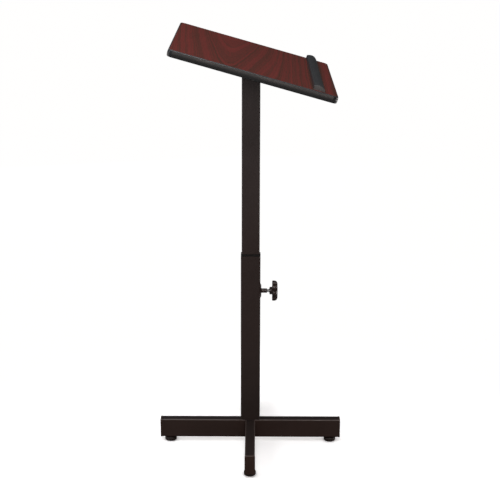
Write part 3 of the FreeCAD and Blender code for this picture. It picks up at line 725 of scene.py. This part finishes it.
def surface_net(field, low, high, cell):
    """Quad mesh of field = 0, from a grid whose box from low to high clears the surface."""
    count = [int(math.ceil((high[i] - low[i]) / cell)) + 1 for i in range(3)]
    grid = np.meshgrid(*[low[i] + cell * np.arange(count[i]) for i in range(3)], indexing="ij")
    value = field(*grid)
    inside = value < 0
    corners = list(np.ndindex(2, 2, 2))

    def at_corner(array, corner):
        return array[tuple(slice(c, n - 1 + c) for c, n in zip(corner, count))]

    # one point in each cell that the surface crosses: the mean of its edge crossings
    filled = sum(at_corner(inside, corner).astype(int) for corner in corners)
    active = (filled > 0) & (filled < 8)
    index = -np.ones(active.shape, int)
    index[active] = np.arange(active.sum())
    base = np.stack([at_corner(places, (0, 0, 0))[active] for places in grid], 1)
    total = np.zeros(base.shape)
    crossings = np.zeros(len(base))
    for corner in corners:
        for axis in range(3):
            if corner[axis]:
                continue
            far_corner = list(corner)
            far_corner[axis] = 1
            near = at_corner(value, corner)[active]
            far = at_corner(value, far_corner)[active]
            crossed = (near < 0) != (far < 0)
            part = np.where(crossed, near / np.where(crossed, near - far, 1), 0)
            offset = np.tile(np.array(corner, float), (len(part), 1))
            offset[:, axis] += part
            total[crossed] += (base + offset * cell)[crossed]
            crossings[crossed] += 1
    verts = total / crossings[:, None]

    # one quad for each grid edge that the surface crosses, through the four cells round it
    faces = []
    for axis in range(3):
        side, other = (axis + 1) % 3, (axis + 2) % 3
        change = np.diff(inside.astype(int), axis=axis)
        for edge in np.argwhere(change != 0):
            quad = []
            for side_step, other_step in ((0, 0), (-1, 0), (-1, -1), (0, -1)):
                place = list(edge)
                place[side] += side_step
                place[other] += other_step
                quad.append(int(index[tuple(place)]))
            faces.append(tuple(quad) if change[tuple(edge)] < 0 else tuple(reversed(quad)))
    return settle(field, verts, faces), faces


def smooth_max(a, b, blend):
    h = np.clip(0.5 + 0.5 * (a - b) / blend, 0, 1)
    return b * (1 - h) + a * h + blend * h * (1 - h)


def smooth_min(a, b, blend):
    return -smooth_max(-a, -b, blend)


def rounded_corner(a, b, radius):
    """Distance field of the corner a < 0, b < 0, rounded."""
    outside = np.hypot(np.maximum(a + radius, 0), np.maximum(b + radius, 0))
    return outside + np.minimum(np.maximum(a, b) + radius, 0) - radius


# ------------------------------------------------------------------ star knob (millimetres)
KNOB_LOW, KNOB_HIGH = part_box("clamp_knob")
KNOB_Y, KNOB_Z = centre("clamp_knob").y * 1000, centre("clamp_knob").z * 1000
KNOB_RADIUS = (KNOB_HIGH.z - KNOB_LOW.z) * 500
KNOB_BACK, KNOB_FACE = KNOB_LOW.x * 1000, KNOB_HIGH.x * 1000
HUB_BACK, HEAD_BACK = KNOB_BACK + 0.8, KNOB_FACE - 14.2
HUB_RADIUS, BOSS_RADIUS = 9.8, 6.1
BORE_RADIUS, BORE_END = 4.06, 60.0
DISH_RADIUS, DISH_DEPTH = 6.6, 0.55
CROWN_RADIUS, CROWN_DROP = 18, 0.25

# star outline: lobe circles joined by hollow valley circles that touch them
HALF_LOBE = math.pi / 4         # half the angle between two of the four lobes
LOBE_RADIUS = 7.2
VALLEY_BOTTOM = 13.6            # distance from the axis to the bottom of a valley
LOBE_CENTRE = KNOB_RADIUS - LOBE_RADIUS
VALLEY_CENTRE = ((LOBE_CENTRE ** 2 - (LOBE_RADIUS - VALLEY_BOTTOM) ** 2)
                 / (2 * (LOBE_CENTRE * math.cos(HALF_LOBE) + LOBE_RADIUS - VALLEY_BOTTOM)))
VALLEY_RADIUS = VALLEY_CENTRE - VALLEY_BOTTOM


def knob_field(x, y, z):
    """Distance field of the knob, negative inside; its axis lies along X."""
    off_y, off_z = y - KNOB_Y, z - KNOB_Z
    radius = np.sqrt(off_y * off_y + off_z * off_z)

    # folded into half a lobe: out along the lobe's middle line, and across it
    angle = np.arctan2(off_y, off_z)
    angle = np.abs((angle + HALF_LOBE) % (2 * HALF_LOBE) - HALF_LOBE)
    out, across = radius * np.cos(angle), radius * np.sin(angle)
    valley_out = VALLEY_CENTRE * math.cos(HALF_LOBE)
    valley_across = VALLEY_CENTRE * math.sin(HALF_LOBE)
    side = (valley_out - LOBE_CENTRE) * across - valley_across * (out - LOBE_CENTRE)
    lobe = np.hypot(out - LOBE_CENTRE, across) - LOBE_RADIUS
    valley = VALLEY_RADIUS - np.hypot(out - valley_out, across - valley_across)
    star = np.where(side < 0, lobe, valley)

    # lobed head, crowned in front, rounded front and back, with a shallow central dish
    crown = CROWN_DROP * (np.minimum(radius, CROWN_RADIUS) / CROWN_RADIUS) ** 2
    rim = radius - KNOB_RADIUS - 0.5
    front = rounded_corner(x - KNOB_FACE + crown, rim, 10.4)
    back = rounded_corner(HEAD_BACK - x, rim, 2.8)
    head = smooth_max(star - 0.45, np.maximum(front, back), blend=1.8)
    dish = np.maximum(radius - DISH_RADIUS, (KNOB_FACE - DISH_DEPTH) - x)
    head = smooth_max(head, -dish, blend=0.5)

    # round hub behind the head, a narrower boss proud of it, and the screw's bore
    hub = rounded_corner(HUB_BACK - x, radius - HUB_RADIUS, 1.6)
    hub = np.maximum(hub, x - (HEAD_BACK + 3))
    boss = np.maximum(np.maximum(KNOB_BACK - x, radius - BOSS_RADIUS), x - HEAD_BACK)
    body = smooth_min(head, smooth_min(hub, boss, blend=0.35), blend=1.6)
    bore = np.maximum(radius - BORE_RADIUS, x - BORE_END)
    return np.maximum(body, -bore)


def star_knob():
    margin = 1.2
    reach = KNOB_RADIUS + margin
    verts, faces = surface_net(
        knob_field,
        low=(KNOB_BACK - margin, KNOB_Y - KNOB_RADIUS - margin, KNOB_Z - KNOB_RADIUS - margin),
        high=(KNOB_FACE + margin, KNOB_Y + reach, KNOB_Z + reach),
        cell=0.55)
    piece("star_knob", (verts / 1000, faces), "clamp_handle", "knob_plastic",
          stands_for="clamp_knob", sharp=48)


star_knob()

# ------------------------------------------------------------------ threads
SCREW = centre("clamp_screw")
SIDES = ("front", "rear", "left", "right")
# flat disc at the lower end of a foot stud: radius, height
STUD_DISC = [(0, 0), (0.0066, 0), (0.0070, 0.0004), (0.0070, 0.0026), (0.0066, 0.003), (0, 0.003)]


def clamp_screw():
    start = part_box("clamp_screw")[0].x
    shape = threaded_rod(Vector((0, SCREW.y, SCREW.z)), axis=(1, 0, 0), side=(0, 0, 1),
                         start=start, end=KNOB_LOW.x + 0.0030)
    piece("clamp_screw_thread", shape, "clamp_handle", "zinc_steel",
          stands_for="clamp_screw", sharp=60)


def foot_stud(side):
    node = "foot_stud_" + side
    low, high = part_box(node)
    middle = centre(node)
    rod = threaded_rod(Vector((middle.x, middle.y, high.z)), axis=(0, 0, -1), side=(1, 0, 0),
                       start=0.0, end=high.z - low.z - 0.0028)
    profile = [(radius, low.z + height) for radius, height in STUD_DISC]
    disc = lathe(profile, Vector((middle.x, middle.y, 0)), steps=64)
    piece("foot_thread_" + side, combined(rod, disc), side + "_foot_stem", "zinc_steel",
          stands_for=node, sharp=50)


clamp_screw()
for side in SIDES:
    foot_stud(side)


# ------------------------------------------------------------------ foot pads
def arc(radius_at, height_at, size, start):
    """Profile points over a quarter turn from a start angle in degrees, every 9 degrees."""
    angles = [math.radians(start + 9 * i) for i in range(11)]
    return [(radius_at + size * math.cos(a), height_at + size * math.sin(a)) for a in angles]


def pad_profile(radius, height):
    """Half section of a foot pad, from the middle of the sole round to the middle of the top."""
    sole = [(0, 0.0), (radius - 0.0100, 0.0), (radius - 0.0096, 0.0004),
            (radius - 0.0088, 0.0004), (radius - 0.0084, 0.0), (radius - 0.0036, 0.0)]
    lower_edge = arc(radius - 0.0036, 0.0036, 0.0036, start=-90)[1:]
    rim_groove = [(radius, height - 0.0048), (radius - 0.00035, height - 0.0045),
                  (radius - 0.00035, height - 0.0041), (radius, height - 0.0038)]
    upper_edge = arc(radius - 0.0024, height - 0.0034, 0.0024, start=0)
    top = [(radius - 0.0042, height - 0.0008), (radius - 0.0050, height - 0.0010),
           (radius - 0.0056, height - 0.0010), (radius - 0.0062, height - 0.0006),
           (0.0075, height - 0.0001), (0.0068, height), (0.0046, height),
           (0.00405, height - 0.0005), (0.00405, height - 0.0011), (0, height - 0.0011)]
    return sole + lower_edge + rim_groove + upper_edge + top


def foot_pad(side):
    flutes, flute_depth, flute_band = 32, 0.00022, 0.0012
    node = "foot_pad_" + side
    low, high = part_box(node)
    middle = centre(node)
    radius = (high.x - low.x) / 2
    origin = Vector((middle.x, middle.y, low.z))
    verts, faces = lathe(pad_profile(radius, high.z - low.z), origin, steps=96)
    # shallow flutes round the rim
    for k, point in enumerate(verts):
        spoke = Vector((point.x - middle.x, point.y - middle.y, 0))
        if spoke.length > radius - flute_band:
            angle = math.atan2(spoke.y, spoke.x)
            cut = flute_depth * max(0.0, math.cos(angle * flutes)) ** 2
            verts[k] = point - spoke.normalized() * cut
    piece("foot_base_" + side, (verts, faces), side + "_foot_base", "foot_plastic",
          stands_for=node, sharp=42)


for side in SIDES:
    foot_pad(side)

# ------------------------------------------------------------------ book stop
# section from its upper foot line down the slope: u, w in millimetres
STOP_SECTION = [
    (0.0, 0.0), (0.0, 7.6), (0.12, 8.3), (0.45, 8.9), (1.0, 9.35), (1.7, 9.6), (2.8, 10.02),
    (4.0, 10.4), (5.2, 10.76), (6.5, 11.05), (7.8, 11.30), (9.2, 11.5), (10.6, 11.68),
    (12.0, 11.75), (13.4, 11.72), (14.8, 11.6), (16.2, 11.34), (17.7, 10.95), (19.3, 10.26),
    (21.0, 9.3), (22.6, 8.2), (24.2, 6.9), (25.6, 5.52), (27.0, 3.9), (28.0, 2.5),
    (28.75, 1.3), (29.1, 0.55), (29.3, 0.0),
]
# softened end edges: distance in from the end, inset of the section, metres
STOP_ENDS = [(0, 0.00075), (0.00012, 0.00038), (0.00038, 0.00012), (0.00075, 0.0)]


def inset(points, depth):
    """Section points moved inward by depth, held on or above w = 0."""
    moved = []
    for i, (u, w) in enumerate(points):
        before, after = points[max(i - 1, 0)], points[min(i + 1, len(points) - 1)]
        along = Vector((after[0] - before[0], after[1] - before[1])).normalized()
        moved.append((u + along.y * depth, max(w - along.x * depth, 0.0)))
    return moved


def book_stop():
    low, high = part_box("book_stop")
    half = (high.y - low.y) / 2
    u_low, u_high = desk_span("book_stop", U_AXIS)
    fit = (u_high - u_low) * 1000 / STOP_SECTION[-1][0]

    # a midpoint is added to each stretch of the section
    dense = []
    for (u, w), (next_u, next_w) in zip(STOP_SECTION, STOP_SECTION[1:]):
        dense += [(u, w), (u + (next_u - u) * 0.5, w + (next_w - w) * 0.5)]
    dense.append(STOP_SECTION[-1])
    section = [(u_low + u * fit / 1000, w / 1000) for u, w in dense]

    stretches, margin = 48, 0.0010
    near_end = [(-half + distance, depth) for distance, depth in STOP_ENDS]
    middle = [(-half + margin + (2 * half - 2 * margin) * i / stretches, 0.0)
              for i in range(stretches + 1)]
    far_end = [(-v, depth) for v, depth in reversed(near_end)]
    stations = near_end + middle + far_end
    verts = [desk(u, v, w) for v, depth in stations for u, w in inset(section, depth)]
    piece("book_stop_bar", (verts, sweep_faces(len(stations), len(section))), "mast_and_desk",
          "stop_vinyl", stands_for="book_stop", sharp=38)


book_stop()

# ------------------------------------------------------------------ weld beads
TUBE_CORNER = 0.003     # corner radius of the legs and the mast
WELD_STEP = 0.0004      # spacing of the points on straight stretches


def leg_weld(side, y_sign, seed):
    """Up one wall of a cross leg, over its top and down the other wall, against the long leg."""
    tuck = 0.0012       # how far the bead moves in over the long leg's rounded top edge
    r = TUBE_CORNER
    long_low, long_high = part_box("long_leg")
    low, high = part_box("cross_leg_" + side)
    half = (high.x - low.x) / 2
    y, top = y_sign * long_high.y, long_high.z

    def wall(x_sign):
        track = [(Vector((x_sign * half, y, z)), Vector((x_sign, y_sign, 0)))
                 for z in np.arange(long_low.z + 0.004, top - r, WELD_STEP)]
        for i in range(1, 12):
            angle = math.pi / 2 * i / 12
            cos, sin = math.cos(angle), math.sin(angle)
            point = Vector((x_sign * (half - r + r * cos), y - y_sign * tuck * sin,
                            top - r + (r - 0.0006) * sin))
            track.append((point, Vector((x_sign * cos, y_sign * (1 - sin), sin + 0.2))))
        return track

    over = [(Vector((x, y - y_sign * tuck, top - 0.0008)), Vector((0, 0, 1)))
            for x in np.arange(-half + r, half - r, WELD_STEP)]
    track = wall(-1) + over + wall(1)[::-1]
    piece("leg_weld_" + side, bead(track, size=0.0017, seed=seed), "base_frame",
          "powder_coat", material="weld")


def mast_head_weld():
    """Round the head of the upper column, against the mounting plate's underside."""
    r = TUBE_CORNER
    low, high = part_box("upper_column")
    in_x, in_y = (high.x - low.x) / 2 - r, (high.y - low.y) / 2 - r
    underside = desk_span("mounting_plate", W_AXIS)[0]

    ring = []
    corners = ((in_x, in_y, 0), (-in_x, in_y, 90), (-in_x, -in_y, 180), (in_x, -in_y, 270))
    for corner_x, corner_y, start in corners:
        for i in range(13):
            angle = math.radians(start + 7.5 * i)
            x, y = corner_x + r * math.cos(angle), corner_y + r * math.sin(angle)
            z = ORIGIN.z + (underside - (x - ORIGIN.x) * W_AXIS.x) / W_AXIS.z
            ring.append((Vector((x, y, z)), Vector((math.cos(angle), math.sin(angle), -0.8))))

    track = []
    for (point, out), (next_point, next_out) in zip(ring, ring[1:] + ring[:1]):
        steps = max(1, int((next_point - point).length / WELD_STEP))
        for k in range(steps):
            track.append((point.lerp(next_point, k / steps), out.lerp(next_out, k / steps)))
    piece("mast_head_weld", bead(track, size=0.0021, seed=23, closed=True), "mast_and_desk",
          "powder_coat", material="weld")


def sleeve_weld():
    """Round the clamp sleeve, against the boss plate."""
    points = 120
    plate_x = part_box("clamp_boss_plate")[1].x
    low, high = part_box("clamp_sleeve")
    radius = (high.z - low.z) / 2
    track = []
    for i in range(points):
        angle = 2 * math.pi * i / points
        spoke = Vector((0, math.sin(angle), math.cos(angle)))
        track.append((Vector((plate_x, SCREW.y, SCREW.z)) + spoke * radius,
                      Vector((0.8, 0, 0)) + spoke))
    piece("sleeve_weld", bead(track, size=0.0010, seed=5, closed=True, ripple=0.0014),
          "base_frame", "powder_coat", material="weld")


leg_weld("left", y_sign=-1, seed=10)
leg_weld("right", y_sign=1, seed=12)
mast_head_weld()
sleeve_weld()


# ------------------------------------------------------------------ floor
def floor_material():
    """Glowing pale floor to the camera, dull grey to all other rays."""
    g = Graph(bpy.data.materials.new("pale_floor"))
    at = g.place()
    x, y, _ = g.split(at)
    distance = g.math("SQRT", g.plus(g.mul(x, x), g.mul(y, y)))
    # painted shadow: the glow dims near the stand and where something touches the floor
    painted_contact_shadow = g.filled("ShaderNodeAmbientOcclusion", {"Distance": 0.012}, samples=12)
    strength = g.mul(g.span(distance, (0.22, 0.80), to=(0.50, 1.0)),
                     g.math("POWER", painted_contact_shadow.outputs["AO"], 1.6))
    glow = g.filled("ShaderNodeEmission", {"Color": (1.0, 0.995, 0.99, 1), "Strength": strength})
    # the lit part shows shadows near the stand and fades out further off
    grain = g.noise(at, scale=3, detail=3, rough=0.5)
    white = g.mix(grain, (1.015, 1.015, 1.015, 1), (1.035, 1.035, 1.035, 1))
    near = g.span(distance, (0.22, 0.85), to=(1.0, 0.01))
    lit = g.filled("ShaderNodeBsdfDiffuse", {"Color": g.mix(near, (0, 0, 0, 1), white)})
    seen = g.filled("ShaderNodeAddShader", {0: glow.outputs[0], 1: lit.outputs[0]})
    dull = g.filled("ShaderNodeBsdfDiffuse", {"Color": (0.24, 0.235, 0.23, 1)})
    g.camera_switch(unseen=dull.outputs[0], seen=seen.outputs[0])
    return g.owner


def floor():
    half = 60.0
    corners = [(-half, -half, 0), (half, -half, 0), (half, half, 0), (-half, half, 0)]
    material = floor_material()
    mesh = bpy.data.meshes.new("floor")
    mesh.from_pydata(corners, [], [(0, 1, 2, 3)])
    mesh.materials.append(material)
    obj = bpy.data.objects.new("floor", mesh)
    obj.location.z = CAD_LOW.z - 0.0002
    SCENE.collection.objects.link(obj)


# ------------------------------------------------------------------ world and lights
def studio_world():
    """White to the camera; a dim room, brighter overhead, to all other rays."""
    world = bpy.data.worlds.new("studio")
    SCENE.world = world
    g = Graph(world, output="ShaderNodeOutputWorld")
    height = g.split(g.node("ShaderNodeTexCoord").outputs["Generated"])[2]
    room_tone = g.ramp(height, (0.0, (0.035, 0.034, 0.034, 1)), (0.45, (0.05, 0.05, 0.052, 1)),
                       (1.0, (0.30, 0.31, 0.33, 1)))
    seen = g.filled("ShaderNodeBackground", {0: (1, 1, 1, 1), 1: 1.0})
    room = g.filled("ShaderNodeBackground", {0: room_tone})
    g.camera_switch(unseen=room.outputs[0], seen=seen.outputs[0])


# name, place, target, width, height, watts, colour, whether it shows in reflections
SOFTBOXES = [
    ("top_box", (-0.15, -0.20, 2.95), (-0.05, 0.0, 1.0), 0.9, 0.7, 28, (0.93, 0.97, 1.0), True),
    ("key_strip", (0.0, -2.2, 2.8), (0.0, 0.0, 0.5), 1.3, 0.35, 21, (0.98, 0.98, 1.0), True),
    ("left_box", (-2.3, -0.75, 2.4), (0.0, 0.0, 0.9), 0.7, 1.1, 20, (0.96, 0.985, 1.0), True),
    ("front_box", (0.3, -4.4, 1.9), (0.0, 0.0, 0.6), 2.0, 1.6, 58, (1.0, 0.86, 0.79), True),
    ("back_box", (-0.8, 3.3, 0.28), (0.0, 0.0, 0.5), 1.6, 0.40, 60, (1.0, 0.95, 0.92), False),
    ("right_box", (2.0, 0.30, 0.24), (0.0, 0.0, 0.5), 1.3, 0.36, 22, (1.0, 0.95, 0.92), True),
    ("left_low_box", (-3.0, 1.0, 0.50), (0.0, 0.0, 0.55), 1.8, 0.9, 46, (1.0, 0.95, 0.92), True),
]


def softbox(name, place, target, width, height, watts, colour, mirrored):
    data = bpy.data.lights.new(name, "AREA")
    data.shape = "RECTANGLE"
    data.size, data.size_y = width, height
    data.energy = watts
    data.color = colour
    lamp = bpy.data.objects.new(name, data)
    lamp.location = place
    lamp.rotation_mode = "QUATERNION"
    lamp.rotation_quaternion = (Vector(target) - Vector(place)).to_track_quat("-Z", "Y")
    lamp.visible_camera = False
    lamp.visible_glossy = mirrored
    SCENE.collection.objects.link(lamp)


# ------------------------------------------------------------------ camera
CAMERA_PLACE = (0.014804, -3.183208, 1.501206)
CAMERA_YAW, CAMERA_PITCH, CAMERA_ROLL = (math.radians(a) for a in (-0.299, -16.906, 0.129))
SENSOR_MM, LENS_MM = 36.0, 92.889288


def camera():
    forward = Vector((math.sin(CAMERA_YAW) * math.cos(CAMERA_PITCH),
                      math.cos(CAMERA_YAW) * math.cos(CAMERA_PITCH), math.sin(CAMERA_PITCH)))
    level = Vector((math.cos(CAMERA_YAW), -math.sin(CAMERA_YAW), 0))
    upright = level.cross(forward)
    right = level * math.cos(CAMERA_ROLL) + upright * math.sin(CAMERA_ROLL)
    up = -level * math.sin(CAMERA_ROLL) + upright * math.cos(CAMERA_ROLL)
    data = bpy.data.cameras.new("camera")
    data.sensor_fit = "HORIZONTAL"
    data.sensor_width = SENSOR_MM
    data.lens = LENS_MM
    data.clip_start, data.clip_end = 0.05, 200.0
    obj = bpy.data.objects.new("camera", data)
    rows = [(right[i], up[i], -forward[i], CAMERA_PLACE[i]) for i in range(3)]
    obj.matrix_world = Matrix(rows + [(0, 0, 0, 1)])
    SCENE.collection.objects.link(obj)
    SCENE.camera = obj


floor()
studio_world()
for box in SOFTBOXES:
    softbox(*box)
SCENE.view_settings.view_transform = "Standard"
SCENE.view_settings.look = "None"
SCENE.view_settings.exposure = 0.0
SCENE.view_settings.gamma = 1.0
camera()
